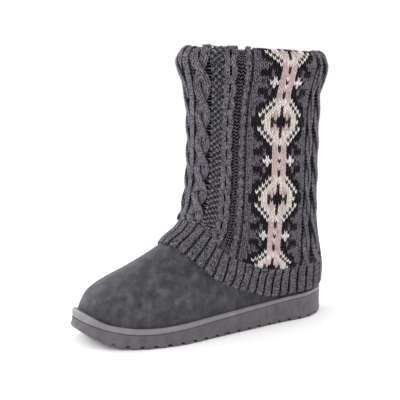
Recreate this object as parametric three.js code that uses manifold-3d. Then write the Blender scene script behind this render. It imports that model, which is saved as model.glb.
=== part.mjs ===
// Sweater boot for the left foot: a suede boot on a moulded rubber cupsole, with a thick knitted sleeve
// over its shaft. Millimetres. The toe points to -Y, the outer side of the foot to +X, and the floor is z = 0.
// Every ring of every piece is walked by one angle, the turn: 0 at the heel's back, a quarter turn at the
// outer side, half a turn at the toe and three quarters at the inner side.

import * as THREE from 'three';
import { mergeVertices } from 'three/addons/utils/BufferGeometryUtils.js';
import Module from 'manifold-3d';

const FULL_TURN = Math.PI * 2;
const COLUMNS = 56;
const EDGE_STEPS = 600;
const GAP = 0.4;

// Sole sizes
const SOLE = {
  length: 275,
  heelBack: 137.5,
  toeSpring: 11.9,
  springStart: -82.5,
  springRun: 55,
  sideForefoot: 13.0,
  sideHeel: 23.6,
  forefootEnd: -70,
  heelStart: 114,
  weltAtToe: 5.8,
  weltAtHeel: 3.2,
  archRise: 2.5,
  archCentre: 15,
  archRun: 30,
  archOuterX: 5,
  archInnerX: -30,
};

// Sole outline. at: share of the length from the heel's back. outer, inner: distance from the centre line.
const OUTLINE = [
  { at: 0.0, outer: 0, inner: 0 },
  { at: 0.015, outer: 13.7, inner: 13.7 },
  { at: 0.06, outer: 27.4, inner: 27.4 },
  { at: 0.14, outer: 36.9, inner: 36.9 },
  { at: 0.25, outer: 38.2, inner: 38.0 },
  { at: 0.4, outer: 41.9, inner: 34.0 },
  { at: 0.55, outer: 46.0, inner: 41.0 },
  { at: 0.68, outer: 49.5, inner: 50.0 },
  { at: 0.78, outer: 46.2, inner: 50.5 },
  { at: 0.87, outer: 37.8, inner: 46.0 },
  { at: 0.94, outer: 26.3, inner: 37.0 },
  { at: 0.985, outer: 12.0, inner: 24.0 },
  { at: 1.0, outer: -8.0, inner: 8.0 },
];

// Sidewall section. up: share of the sidewall's height. inset: how far it lies inside the outline.
const SIDEWALL = [
  { up: 0.0, inset: 1.6 },
  { up: 0.12, inset: 0.0 },
  { up: 0.55, inset: 0.8 },
  { up: 0.92, inset: 0.4 },
  { up: 1.0, inset: 1.3 },
];

// Welt section, from its foot outwards and up to the ledge that the suede stands in.
const WELT = [
  { up: 0.0, inset: 1.1 },
  { up: 0.4, inset: 0.2 },
  { up: 0.8, inset: 0.7 },
  { up: 1.0, inset: 2.4 },
];

// Tread: bars between grooves that open as notches in the sidewall's foot
const TREAD = { pitch: 12.95, nearestHeel: 41.2, nearestToe: 22, width: 3.6, depth: 2.8, chamfer: 1.0 };

// Last and shaft. Each row is one level section: front and back of its outline, the length of the rounding at
// the front (nose) and back (tail), its half width behind the nose and before the tail, and the toe's lean
// towards the inner side. Up to the ankle these come from foot length, ball width, instep and heel height.
const LEVELS = [
  { z: 13, front: -131.0, back: 131.6, nose: 60, tail: 36, fore: 45.5, heel: 33.5, lean: -8.0 },
  { z: 26, front: -131.0, back: 132.2, nose: 60, tail: 36, fore: 46.0, heel: 34.5, lean: -8.0 },
  { z: 36, front: -127.5, back: 132.0, nose: 62, tail: 38, fore: 46.0, heel: 35.5, lean: -8.0 },
  { z: 46, front: -120.0, back: 131.2, nose: 68, tail: 41, fore: 45.5, heel: 37.0, lean: -8.0 },
  { z: 54, front: -106.0, back: 129.8, nose: 80, tail: 44, fore: 45.0, heel: 38.5, lean: -7.5 },
  { z: 62, front: -88.0, back: 128.2, nose: 96, tail: 47, fore: 44.6, heel: 40.0, lean: -6.5 },
  { z: 70, front: -71.5, back: 126.4, nose: 104, tail: 50, fore: 44.4, heel: 41.5, lean: -5.0 },
  { z: 78, front: -56.0, back: 124.6, nose: 104, tail: 53, fore: 44.6, heel: 43.0, lean: -3.5 },
  { z: 86, front: -42.5, back: 123.0, nose: 99, tail: 55, fore: 45.0, heel: 44.0, lean: -2.0 },
  { z: 96, front: -27.0, back: 121.2, nose: 88, tail: 57, fore: 46.0, heel: 45.5, lean: -1.0 },
  { z: 108, front: -18.0, back: 119.8, nose: 77, tail: 59, fore: 47.2, heel: 47.0, lean: 0.0 },
  { z: 125, front: -12.5, back: 119.0, nose: 69, tail: 61, fore: 49.0, heel: 49.0, lean: 0.0 },
  { z: 150, front: -8.5, back: 119.0, nose: 64, tail: 63, fore: 50.0, heel: 50.0, lean: 0.0 },
  { z: 190, front: -7.0, back: 119.4, nose: 63, tail: 63, fore: 50.3, heel: 50.3, lean: 0.0 },
  { z: 225, front: -9.0, back: 119.8, nose: 63, tail: 63, fore: 50.8, heel: 50.8, lean: 0.0 },
  { z: 245, front: -11.0, back: 121.0, nose: 64, tail: 63, fore: 52.0, heel: 52.0, lean: 0.0 },
  { z: 273, front: -15.0, back: 124.0, nose: 66, tail: 64, fore: 54.5, heel: 54.5, lean: 0.0 },
];
const LEDGE = 5.6;
const FEATHER_END = 20;
const FEATHER_FADE = 62;
const LEAN_START = 0.35;

// Heights between which the last's surface turns from the level feather line to its own slope, and back to
// the level direction of the straight shaft
const SLOPE = { from: 20, full: 36, fade: 150, level: 215 };

// Upper: suede with its plush lining. Its rings follow the hem: rows below it up to the hem, and above it
// the rows that the sleeve shares, both as shares of the way.
const UPPER = { wall: 3.0, rowsBelowHem: [0, 0.12, 0.27, 0.42, 0.57, 0.71, 0.85] };
const SHAFT_ROWS = [0, 0.05, 0.1, 0.15, 0.2, 0.26, 0.33, 0.42, 0.54, 0.68, 0.84, 1];
const INSOLE = { thickness: 5.0, edgeRound: 1.2, roundStart: 0.75, sideGap: 0.6 };

// Knitted sleeve: thickness of the knit, the hem's rounding, the flare under the collar and the collar's fold
const SLEEVE = {
  knit: 6.0,
  hemRound: 2.5,
  hemThickness: 4.0,
  flare: 5.0,
  flareStart: 220,
  flareEnd: 260,
  foldHeight: 14,
  foldInside: 8.0,
  foldSteps: 6,
  lipDrop: 6,
  collarInFold: 4,
};
const COLLAR = { frontTop: 273, backTop: 268 };

// Hem of the sleeve. turn: degrees from the heel's back. z: height of the hem's edge.
const HEM = [
  { turn: 0, z: 28.0 },
  { turn: 40, z: 28.6 },
  { turn: 62, z: 28.0 },
  { turn: 70, z: 30.0 },
  { turn: 78, z: 36.5 },
  { turn: 90, z: 45.5 },
  { turn: 100, z: 52.5 },
  { turn: 108, z: 58.3 },
  { turn: 120, z: 67.0 },
  { turn: 130, z: 72.5 },
  { turn: 140, z: 77.0 },
  { turn: 152, z: 81.2 },
  { turn: 165, z: 83.6 },
  { turn: 180, z: 84.4 },
];

// Curves through tables

function ease(from, to, x) {
  const t = THREE.MathUtils.clamp((x - from) / (to - from), 0, 1);
  return t * t * (3 - 2 * t);
}

// Value at x of a smooth curve through points [x, value], whose slope at a point is that between its neighbours
function curveThrough(points, x) {
  const last = points.length - 1;
  const clamped = THREE.MathUtils.clamp(x, points[0][0], points[last][0]);
  let i = 0;
  while (i < last - 1 && points[i + 1][0] <= clamped) i += 1;
  const slopeAt = (k) => {
    const before = points[Math.max(k - 1, 0)];
    const after = points[Math.min(k + 1, last)];
    return (after[1] - before[1]) / (after[0] - before[0]);
  };
  const span = points[i + 1][0] - points[i][0];
  const u = (clamped - points[i][0]) / span;
  const u2 = u * u;
  const u3 = u2 * u;
  return (2 * u3 - 3 * u2 + 1) * points[i][1]
    + (u3 - 2 * u2 + u) * span * slopeAt(i)
    + (3 * u2 - 2 * u3) * points[i + 1][1]
    + (u3 - u2) * span * slopeAt(i + 1);
}

function tableCurve(rows, at, column) {
  const points = rows.map((row) => [row[at], row[column]]);
  return (x) => curveThrough(points, x);
}

// Sole outline and heights

const turnOfShare = (share) => Math.acos(1 - 2 * share);
const shareOfTurn = (turn) => (1 - Math.cos(turn)) / 2;
const wrapTurn = (turn) => ((turn % FULL_TURN) + FULL_TURN) % FULL_TURN;

const outlineLoop = [
  ...OUTLINE.map((row) => [turnOfShare(row.at), row.outer]),
  ...OUTLINE.slice(1, -1).reverse().map((row) => [FULL_TURN - turnOfShare(row.at), -row.inner]),
];
const outlinePoints = [
  ...outlineLoop.slice(-2).map(([turn, x]) => [turn - FULL_TURN, x]),
  ...outlineLoop,
  ...outlineLoop.slice(0, 2).map(([turn, x]) => [turn + FULL_TURN, x]),
];

function outlineAt(turn) {
  return new THREE.Vector2(
    curveThrough(outlinePoints, wrapTurn(turn)),
    SOLE.heelBack - SOLE.length * shareOfTurn(turn),
  );
}

// Outline moved inwards by a distance
function insetOutline(turn, distance) {
  const step = 1e-3;
  const along = outlineAt(turn + step).sub(outlineAt(turn - step)).normalize();
  return outlineAt(turn).add(new THREE.Vector2(along.y, -along.x).multiplyScalar(distance));
}

function springAt(y) {
  return SOLE.toeSpring * Math.max(0, (SOLE.springStart - y) / SOLE.springRun) ** 2;
}

// Underside: toe spring, and the arch raised towards the inner side
function undersideAt(x, y) {
  const towardsInner = ease(SOLE.archOuterX, SOLE.archInnerX, x);
  const alongArch = Math.exp(-(((y - SOLE.archCentre) / SOLE.archRun) ** 2));
  return springAt(y) + SOLE.archRise * towardsInner * alongArch;
}

function sidewallHeight(y) {
  const t = THREE.MathUtils.clamp((y - SOLE.forefootEnd) / (SOLE.heelStart - SOLE.forefootEnd), 0, 1);
  return THREE.MathUtils.lerp(SOLE.sideForefoot, SOLE.sideHeel, t);
}

const platformAt = (y) => springAt(y) + sidewallHeight(y);

function weltHeight(y) {
  return THREE.MathUtils.lerp(SOLE.weltAtHeel, SOLE.weltAtToe, (SOLE.heelBack - y) / SOLE.length);
}

// The last: outer surface of the suede boot

const levelColumns = ['front', 'back', 'nose', 'tail', 'fore', 'heel', 'lean'];
const level = Object.fromEntries(
  levelColumns.map((column) => [column, tableCurve(LEVELS, 'z', column)]),
);

// Half width of a level section at y: full between nose and tail, rounded off at both ends
function sectionHalfWidth(z, y) {
  const noseEnd = level.front(z) + level.nose(z);
  const tailStart = level.back(z) - level.tail(z);
  const intoNose = THREE.MathUtils.clamp((noseEnd - y) / level.nose(z), 0, 1);
  const intoTail = THREE.MathUtils.clamp((y - tailStart) / level.tail(z), 0, 1);
  const full = THREE.MathUtils.lerp(level.fore(z), level.heel(z), ease(noseEnd, tailStart, y));
  return full * Math.sqrt(1 - intoNose ** 2) * Math.sqrt(1 - intoTail ** 2);
}

// A level section starts as the feather line, the sole's outline less the welt's ledge, and rounds off above it
function lastAt(turn, z) {
  const feather = insetOutline(turn, LEDGE);
  const featherHeel = SOLE.heelBack - LEDGE;
  const featherLength = SOLE.length - 2 * LEDGE;
  const rise = ease(FEATHER_END, FEATHER_FADE, z);
  const share = THREE.MathUtils.lerp((featherHeel - feather.y) / featherLength, shareOfTurn(turn), rise);
  const y = THREE.MathUtils.lerp(level.back(z), level.front(z), share);
  const side = wrapTurn(turn) <= Math.PI ? 1 : -1;
  const rounded = side * sectionHalfWidth(z, y) + level.lean(z) * ease(LEAN_START, 1, share);
  return new THREE.Vector3(THREE.MathUtils.lerp(feather.x, rounded, rise), y, z);
}

// Outward direction of the last's surface. It is level at the feather line and along the shaft.
function lastNormal(turn, z) {
  const turnStep = 1e-3;
  const heightStep = 0.05;
  const around = lastAt(turn + turnStep, z).sub(lastAt(turn - turnStep, z));
  const upwards = lastAt(turn, z + heightStep).sub(lastAt(turn, z - heightStep));
  const normal = upwards.cross(around).normalize();
  normal.z *= ease(SLOPE.from, SLOPE.full, z) * (1 - ease(SLOPE.fade, SLOPE.level, z));
  return normal.normalize();
}

function lastOffset(turn, z, distance) {
  return lastAt(turn, z).addScaledVector(lastNormal(turn, z), distance);
}

// Heights of edges that run round the boot

const collarTop = (turn) => THREE.MathUtils.lerp(COLLAR.backTop, COLLAR.frontTop, shareOfTurn(turn));
const foldCentre = (turn) => collarTop(turn) - SLEEVE.foldHeight;
const upperTop = (turn) => foldCentre(turn) + SLEEVE.collarInFold;
const shaftHeight = (turn, share) => THREE.MathUtils.lerp(hemAt(turn), foldCentre(turn), share);
const upperFoot = (turn) => platformAt(insetOutline(turn, LEDGE).y) + GAP;

const hemCurve = tableCurve(HEM, 'turn', 'z');
function hemAt(turn) {
  const degrees = THREE.MathUtils.radToDeg(wrapTurn(turn));
  return hemCurve(Math.min(degrees, 360 - degrees));
}

// Meshes from rings

const turns = Array.from({ length: COLUMNS }, (_, j) => (FULL_TURN * j) / COLUMNS);
const ringOf = (pointAt) => turns.map(pointAt);

// Faces between rings. Each four-sided patch is split along its shorter diagonal, so that two surfaces that
// lie close together split alike.
function ringFaces(rings, closed) {
  const faces = [];
  const count = closed ? rings.length : rings.length - 1;
  for (let i = 0; i < count; i += 1) {
    const above = (i + 1) % rings.length;
    const low = i * COLUMNS;
    const high = above * COLUMNS;
    for (let j = 0; j < COLUMNS; j += 1) {
      const next = (j + 1) % COLUMNS;
      const rising = rings[i][j].distanceTo(rings[above][next]);
      const falling = rings[above][j].distanceTo(rings[i][next]);
      if (rising < falling) {
        faces.push(low + j, high + next, low + next, low + j, high + j, high + next);
      } else {
        faces.push(low + j, high + j, low + next, high + j, high + next, low + next);
      }
    }
  }
  return faces;
}

// Strips across a ring, from each point on the outer side to its partner on the inner side
function lidFaces(start, facesUp) {
  const faces = [];
  const add = (a, b, c) => {
    const [second, third] = facesUp ? [c, b] : [b, c];
    faces.push(start + a, start + second, start + third);
  };
  const half = COLUMNS / 2;
  add(0, 1, COLUMNS - 1);
  for (let j = 1; j < half - 1; j += 1) {
    add(j, j + 1, COLUMNS - j);
    add(j + 1, COLUMNS - j - 1, COLUMNS - j);
  }
  add(half - 1, half, half + 1);
  return faces;
}

function geometryOf(rings, faces) {
  const geometry = new THREE.BufferGeometry();
  const positions = rings.flat().flatMap((p) => p.toArray());
  geometry.setAttribute('position', new THREE.Float32BufferAttribute(positions, 3));
  geometry.setIndex(faces);
  geometry.computeVertexNormals();
  return geometry;
}

// Rings that go up the outside and down the inside of a wall, and close on themselves
function wallGeometry(rings) {
  return geometryOf(rings, ringFaces(rings, true));
}

// Rings from bottom to top of a solid slab, with a lid at each end
function slabGeometry(rings) {
  const top = (rings.length - 1) * COLUMNS;
  return geometryOf(rings, [...ringFaces(rings, false), ...lidFaces(0, false), ...lidFaces(top, true)]);
}

// Booleans

const wasm = await Module();
wasm.setup();

function toSolid(geometry) {
  const bare = geometry.clone();
  bare.deleteAttribute('normal');
  bare.deleteAttribute('uv');
  const merged = mergeVertices(bare, 1e-4);
  return new wasm.Manifold(new wasm.Mesh({
    numProp: 3,
    vertProperties: new Float32Array(merged.attributes.position.array),
    triVerts: new Uint32Array(merged.index.array),
  }));
}

function fromSolid(solid) {
  const mesh = solid.getMesh();
  const geometry = new THREE.BufferGeometry();
  geometry.setAttribute('position', new THREE.BufferAttribute(mesh.vertProperties, 3));
  geometry.setIndex(new THREE.BufferAttribute(mesh.triVerts, 1));
  geometry.computeVertexNormals();
  return geometry;
}

// Outsole

function outsoleSlab() {
  const rings = SIDEWALL.map((row) => ringOf((turn) => {
    const p = insetOutline(turn, row.inset);
    const bottom = undersideAt(p.x, p.y);
    return new THREE.Vector3(p.x, p.y, THREE.MathUtils.lerp(bottom, platformAt(p.y), row.up));
  }));
  return slabGeometry(rings);
}

// Points on one side of the outline at the tread's pitch, measured along the edge from the heel's back
function treadPoints(sideSign) {
  const points = [];
  let walked = 0;
  let next = TREAD.nearestHeel;
  let before = outlineAt(0);
  const halfLength = edgeLength(sideSign);
  for (let k = 1; k <= EDGE_STEPS; k += 1) {
    const here = outlineAt((sideSign * Math.PI * k) / EDGE_STEPS);
    walked += here.distanceTo(before);
    before = here;
    if (walked >= next && next < halfLength - TREAD.nearestToe) {
      points.push(here);
      next += TREAD.pitch;
    }
  }
  return points;
}

// Length of one side of the outline, from the heel's back to the toe
function edgeLength(sideSign) {
  let length = 0;
  for (let k = 0; k < EDGE_STEPS; k += 1) {
    const a = outlineAt((sideSign * Math.PI * k) / EDGE_STEPS);
    length += a.distanceTo(outlineAt((sideSign * Math.PI * (k + 1)) / EDGE_STEPS));
  }
  return length;
}

// A groove's cutter: a bar with a chamfered top, from below the floor up to the groove's depth
function grooveCutter(from, to) {
  const overrun = 8;
  const belowFloor = 3;
  const middle = from.clone().add(to).multiplyScalar(0.5);
  const length = from.distanceTo(to) + 2 * overrun;
  const top = undersideAt(middle.x, middle.y) + TREAD.depth;
  const half = TREAD.width / 2;
  const section = new THREE.Shape([
    new THREE.Vector2(-half, -belowFloor),
    new THREE.Vector2(half, -belowFloor),
    new THREE.Vector2(half, top - TREAD.chamfer),
    new THREE.Vector2(half - TREAD.chamfer, top),
    new THREE.Vector2(-half + TREAD.chamfer, top),
    new THREE.Vector2(-half, top - TREAD.chamfer),
  ]);
  const bar = new THREE.ExtrudeGeometry(section, { depth: length, bevelEnabled: false });
  bar.translate(0, 0, -length / 2);
  bar.rotateX(Math.PI / 2);
  const direction = to.clone().sub(from);
  bar.rotateZ(Math.atan2(direction.y, direction.x) - Math.PI / 2);
  bar.translate(middle.x, middle.y, 0);
  return bar;
}

function outsoleGeometry() {
  const outer = treadPoints(1);
  const inner = treadPoints(-1);
  const bars = Math.min(outer.length, inner.length);
  let solid = toSolid(outsoleSlab());
  for (let k = 0; k < bars; k += 1) {
    solid = solid.subtract(toSolid(grooveCutter(outer[k], inner[k])));
  }
  return fromSolid(solid);
}

// Welt

function weltGeometry() {
  const outside = WELT.map((row) => ringOf((turn) => {
    const p = insetOutline(turn, row.inset);
    return new THREE.Vector3(p.x, p.y, platformAt(p.y) + GAP + weltHeight(p.y) * row.up);
  }));
  const insideAt = (up) => ringOf((turn) => {
    const y = insetOutline(turn, LEDGE).y;
    const z = platformAt(y) + GAP + weltHeight(y) * up;
    return lastOffset(turn, z, GAP).setZ(z);
  });
  return wallGeometry([insideAt(0), ...outside, insideAt(1)]);
}

// Insole

function insoleGeometry() {
  const inWall = (turn, z, inset) => lastOffset(turn, z, -UPPER.wall - INSOLE.sideGap - inset);
  const ringAt = (up, inset) => ringOf((turn) => {
    const foot = inWall(turn, upperFoot(turn), 0);
    const z = platformAt(foot.y) + GAP + INSOLE.thickness * up;
    const p = inWall(turn, z, inset);
    return p.setZ(platformAt(p.y) + GAP + INSOLE.thickness * up);
  });
  return slabGeometry([ringAt(0, 0), ringAt(INSOLE.roundStart, 0), ringAt(1, INSOLE.edgeRound)]);
}

// Upper

function upperGeometry() {
  const footHeight = (turn, share) => THREE.MathUtils.lerp(upperFoot(turn), hemAt(turn), share);
  const heights = [
    ...UPPER.rowsBelowHem.map((share) => (turn) => footHeight(turn, share)),
    ...SHAFT_ROWS.map((share) => (turn) => shaftHeight(turn, share)),
    upperTop,
  ];
  const outside = heights.map((heightAt) => ringOf((turn) => lastAt(turn, heightAt(turn))));
  const inside = heights.map((heightAt, row) => ringOf((turn) => {
    const z = heightAt(turn);
    const p = lastOffset(turn, z, -UPPER.wall);
    const atEdge = row === 0 || row === heights.length - 1;
    return atEdge ? p.setZ(z) : p;
  }));
  return wallGeometry([...outside, ...inside.reverse()]);
}

// Knitted sleeve

function sleeveThickness(z) {
  return SLEEVE.knit + SLEEVE.flare * ease(SLEEVE.flareStart, SLEEVE.flareEnd, z);
}

function sleeveOutside(turn, share) {
  const z = shaftHeight(turn, share);
  return lastOffset(turn, z, GAP + sleeveThickness(z));
}

// The fold: half a turn of an ellipse from the outside over the collar's top to the inside
function foldAt(turn, angle) {
  const z = foldCentre(turn);
  const outer = GAP + sleeveThickness(z);
  const inner = -SLEEVE.foldInside;
  const across = (outer + inner) / 2 + ((outer - inner) / 2) * Math.cos(angle);
  return lastOffset(turn, z, across).setZ(z + SLEEVE.foldHeight * Math.sin(angle));
}

function sleeveGeometry() {
  const hemEdge = ringOf((turn) => lastOffset(turn, hemAt(turn), GAP + SLEEVE.hemThickness));
  const hemBulge = ringOf((turn) => lastOffset(turn, hemAt(turn) + SLEEVE.hemRound, GAP + SLEEVE.knit));
  const outside = SHAFT_ROWS.slice(1).map((share) => ringOf((turn) => sleeveOutside(turn, share)));
  const foldStep = Math.PI / SLEEVE.foldSteps;
  const foldAngles = Array.from({ length: SLEEVE.foldSteps }, (_, k) => foldStep * (k + 1));
  const fold = foldAngles.map((angle) => ringOf((turn) => foldAt(turn, angle)));
  const lipZ = (turn) => foldCentre(turn) - SLEEVE.lipDrop;
  const lipInner = ringOf((turn) => lastOffset(turn, lipZ(turn), -SLEEVE.foldInside).setZ(lipZ(turn)));
  const liningSide = -UPPER.wall - GAP;
  const lipOuter = ringOf((turn) => lastOffset(turn, lipZ(turn), liningSide).setZ(lipZ(turn)));
  const slotTop = (turn) => upperTop(turn) + GAP;
  const slotInner = ringOf((turn) => lastOffset(turn, slotTop(turn), liningSide).setZ(slotTop(turn)));
  const slotOuter = ringOf((turn) => lastOffset(turn, slotTop(turn), GAP).setZ(slotTop(turn)));
  const inside = [...SHAFT_ROWS].reverse().map((share) => ringOf((turn) => (
    lastOffset(turn, shaftHeight(turn, share), GAP)
  )));
  return wallGeometry([
    hemEdge, hemBulge, ...outside, ...fold, lipInner, lipOuter, slotInner, slotOuter, ...inside,
  ]);
}

// Assembly

const suede = new THREE.MeshStandardMaterial({ color: 0x57565a, roughness: 0.95, metalness: 0 });
const rubber = new THREE.MeshStandardMaterial({ color: 0x6a676a, roughness: 0.6, metalness: 0 });
const weltRubber = new THREE.MeshStandardMaterial({ color: 0x7f7d82, roughness: 0.55, metalness: 0 });
const plush = new THREE.MeshStandardMaterial({ color: 0x6f6c70, roughness: 1, metalness: 0 });
const yarn = new THREE.MeshStandardMaterial({ color: 0x55535a, roughness: 1, metalness: 0 });

function namedMesh(name, geometry, material) {
  const mesh = new THREE.Mesh(geometry, material);
  mesh.name = name;
  return mesh;
}

const boot = new THREE.Group();
boot.name = 'sweater_boot';
boot.add(
  namedMesh('outsole', outsoleGeometry(), rubber),
  namedMesh('welt', weltGeometry(), weltRubber),
  namedMesh('insole', insoleGeometry(), plush),
  namedMesh('upper', upperGeometry(), suede),
  namedMesh('knit_sleeve', sleeveGeometry(), yarn),
);

export default boot;
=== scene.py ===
# Sweater boot for the left foot: suede boot, moulded rubber cupsole and a thick knitted sleeve.
# Sizes below are millimetres. Every ring round the boot is walked by one angle, the turn: 0 at the heel's
# back, a quarter turn at the outer side (+X), half a turn at the toe (-Y).
import math

import bpy
import numpy as np
from mathutils import Matrix, Vector


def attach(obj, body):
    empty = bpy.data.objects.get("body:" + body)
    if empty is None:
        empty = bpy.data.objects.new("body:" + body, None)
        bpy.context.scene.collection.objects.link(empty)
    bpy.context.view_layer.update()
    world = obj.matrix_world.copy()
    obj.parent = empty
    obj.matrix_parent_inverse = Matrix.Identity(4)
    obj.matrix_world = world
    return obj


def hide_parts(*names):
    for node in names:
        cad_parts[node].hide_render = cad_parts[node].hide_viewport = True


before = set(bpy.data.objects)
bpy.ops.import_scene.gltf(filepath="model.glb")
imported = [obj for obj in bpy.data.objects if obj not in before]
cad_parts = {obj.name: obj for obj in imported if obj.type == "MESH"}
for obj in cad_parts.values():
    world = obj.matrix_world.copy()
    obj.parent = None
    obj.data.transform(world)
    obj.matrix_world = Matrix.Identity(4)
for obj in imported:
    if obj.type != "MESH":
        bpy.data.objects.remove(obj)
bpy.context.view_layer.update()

MM = 0.001
TAU = 2 * math.pi

# Clearance between neighbouring pieces
GAP = 0.4

# Steps over which slopes are taken
TURN_STEP, HEIGHT_STEP = 1e-3, 0.05

# Sole: length, toe spring, sidewall at both ends, welt, arch, and the ledge round the suede
LENGTH = 275.0
HEEL_BACK = 137.5
TOE_SPRING, SPRING_START, SPRING_RUN = 11.9, -82.5, 55.0
SIDE_FOREFOOT, SIDE_HEEL, FOREFOOT_END, HEEL_START = 13.0, 23.6, -70.0, 114.0
WELT_TOE, WELT_HEEL = 5.8, 3.2
ARCH_RISE, ARCH_CENTRE, ARCH_RUN = 2.5, 15.0, 30.0
ARCH_OUTER, ARCH_INNER = 5.0, -30.0
LEDGE = 5.6

# Sole outline: share of the length from the heel's back, outer and inner distance from the centre line
OUTLINE = [
    (0.0, 0, 0),
    (0.015, 13.7, 13.7),
    (0.06, 27.4, 27.4),
    (0.14, 36.9, 36.9),
    (0.25, 38.2, 38.0),
    (0.4, 41.9, 34.0),
    (0.55, 46.0, 41.0),
    (0.68, 49.5, 50.0),
    (0.78, 46.2, 50.5),
    (0.87, 37.8, 46.0),
    (0.94, 26.3, 37.0),
    (0.985, 12.0, 24.0),
    (1.0, -8.0, 8.0),
]

# Tread notches along the edge, measured from the heel's back
NOTCH_PITCH, NOTCH_FIRST, NOTCH_LAST, NOTCH_WIDTH, NOTCH_DEPTH = 12.95, 41.2, 22.0, 4.4, 3.3

# Level sections of the last and shaft: height, front and back ends, length of the rounding at each end, half
# width at both, and how far the front leans sideways
LEVEL_COLUMNS = ("z", "front", "back", "nose", "tail", "fore", "heel", "lean")
LEVELS = [
    (13, -131.0, 131.6, 60, 36, 45.5, 33.5, -8.0),
    (26, -131.0, 132.2, 60, 36, 46.0, 34.5, -8.0),
    (36, -127.5, 132.0, 62, 38, 46.0, 35.5, -8.0),
    (46, -120.0, 131.2, 68, 41, 45.5, 37.0, -8.0),
    (54, -106.0, 129.8, 80, 44, 45.0, 38.5, -7.5),
    (62, -88.0, 128.2, 96, 47, 44.6, 40.0, -6.5),
    (70, -71.5, 126.4, 104, 50, 44.4, 41.5, -5.0),
    (78, -56.0, 124.6, 104, 53, 44.6, 43.0, -3.5),
    (86, -42.5, 123.0, 99, 55, 45.0, 44.0, -2.0),
    (96, -27.0, 121.2, 88, 57, 46.0, 45.5, -1.0),
    (108, -18.0, 119.8, 77, 59, 47.2, 47.0, 0.0),
    (125, -12.5, 119.0, 69, 61, 49.0, 49.0, 0.0),
    (150, -8.5, 119.0, 64, 63, 50.0, 50.0, 0.0),
    (190, -7.0, 119.4, 63, 63, 50.3, 50.3, 0.0),
    (225, -9.0, 119.8, 63, 63, 50.8, 50.8, 0.0),
    (245, -11.0, 121.0, 64, 63, 52.0, 52.0, 0.0),
    (273, -15.0, 124.0, 66, 64, 54.5, 54.5, 0.0),
]

# The last follows the sole's outline up to one height and is free of it from another. It leans sideways from
# this share of its length on.
FEATHER_END, FEATHER_FADE, LEAN_START = 20.0, 62.0, 0.35

# Heights between which offsets come to follow the surface's slope, and stop following it
SLOPE_FROM, SLOPE_FULL, SLOPE_FADE, SLOPE_LEVEL = 20.0, 36.0, 150.0, 215.0

# Wall of the suede boot with its lining
WALL = 3.0

# Knitted sleeve: thickness, flare towards the collar, and the collar's fold
KNIT, FLARE, FLARE_START, FLARE_END = 6.0, 5.0, 220.0, 260.0
FOLD_HEIGHT, FOLD_INSIDE = 14.0, 8.0
COLLAR_FRONT, COLLAR_BACK = 273.0, 268.0

# Height of the hem, by degrees from the heel's back
HEM = [
    (0, 28.0),
    (40, 28.6),
    (62, 28.0),
    (70, 30.0),
    (78, 36.5),
    (90, 45.5),
    (100, 52.5),
    (108, 58.3),
    (120, 67.0),
    (130, 72.5),
    (140, 77.0),
    (152, 81.2),
    (165, 83.6),
    (180, 84.4),
]

# Yarn: radius, sides of its section, and distance from one ply to the next along it
YARN_RADIUS = 0.58
YARN_SIDES = 4
PLY_LENGTH = 2.4

# Loops: the head and foot reach over the row, the legs sway and stand out. A bar crosses a dropped column.
LOOP_SAMPLES = 8
LOOP_REACH = 0.89
LOOP_SWAY = 1.5
LOOP_DEPTH = 0.8
BAR_REACH = 0.25

# Middle of the plain knit's yarn below the sleeve's surface
KNIT_SINK = 2.2

# Rows are counted from the hem's edge. They are tighter above the ribs, and run on over the collar's fold.
RIB_ROWS = 9
TIGHT_START, TIGHT_END, TIGHTER = 8.0, 15.0, 5.5
FOLD_ROW = 70.3
FOLD_ROWS = 11.6
LAST_ROW = 83
HEM_BACK = 28.0
ROW_BACK = (COLLAR_BACK - FOLD_HEIGHT - HEM_BACK + TIGHTER) / FOLD_ROW
FIRST_COURSE = 0.9
BANDS = {
    "knit_lower": (RIB_ROWS, 29),
    "knit_middle": (29, 49),
    "knit_upper": (49, 69),
    "knit_collar": (69, LAST_ROW),
}

# Panels are laid out round the shaft at this level, where half the way round counts as this width
SHAFT_LEVEL = 190.0
HALF_ROUND = 199.0


# Curves through tables

def ease(start, end, x):
    """0 up to the start, 1 from the end on, and smooth between."""
    t = np.clip((np.asarray(x, float) - start) / (end - start), 0, 1)
    return t * t * (3 - 2 * t)


def lerp(a, b, t):
    return a + (b - a) * t


def curve_through(places, values, x):
    """Smooth curve through points, whose slope at a point is that between its neighbours."""
    places = np.asarray(places, float)
    values = np.asarray(values, float)
    last = len(places) - 1
    before = np.maximum(np.arange(last + 1) - 1, 0)
    after = np.minimum(np.arange(last + 1) + 1, last)
    slopes = (values[after] - values[before]) / (places[after] - places[before])
    x = np.clip(x, places[0], places[last])
    i = np.clip(np.searchsorted(places, x, side="right") - 1, 0, last - 1)
    span = places[i + 1] - places[i]
    u = (x - places[i]) / span
    u2, u3 = u * u, u * u * u
    return (
        (2 * u3 - 3 * u2 + 1) * values[i]
        + (u3 - 2 * u2 + u) * span * slopes[i]
        + (3 * u2 - 2 * u3) * values[i + 1]
        + (u3 - u2) * span * slopes[i + 1]
    )


def walked_along(points):
    """Distance from a path's first point to each of its points."""
    return np.concatenate([[0], np.cumsum(np.linalg.norm(np.diff(points, axis=0), axis=1))])


# Form of the sole and of the last, as in the solids

def share_of(turn):
    """Share of the length from the heel's back at a turn."""
    return (1 - np.cos(turn)) / 2


def outline_table():
    """Turns and widths of the outline all round, with two points more at each end to close the curve."""
    rows = [(math.acos(1 - 2 * at), outer) for at, outer, _ in OUTLINE]
    rows += [(TAU - math.acos(1 - 2 * at), -inner) for at, _, inner in OUTLINE[-2:0:-1]]
    loop = [(turn - TAU, x) for turn, x in rows[-2:]] + rows + [(turn + TAU, x) for turn, x in rows[:2]]
    return np.array(loop).T


OUTLINE_TURNS, OUTLINE_X = outline_table()


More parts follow.
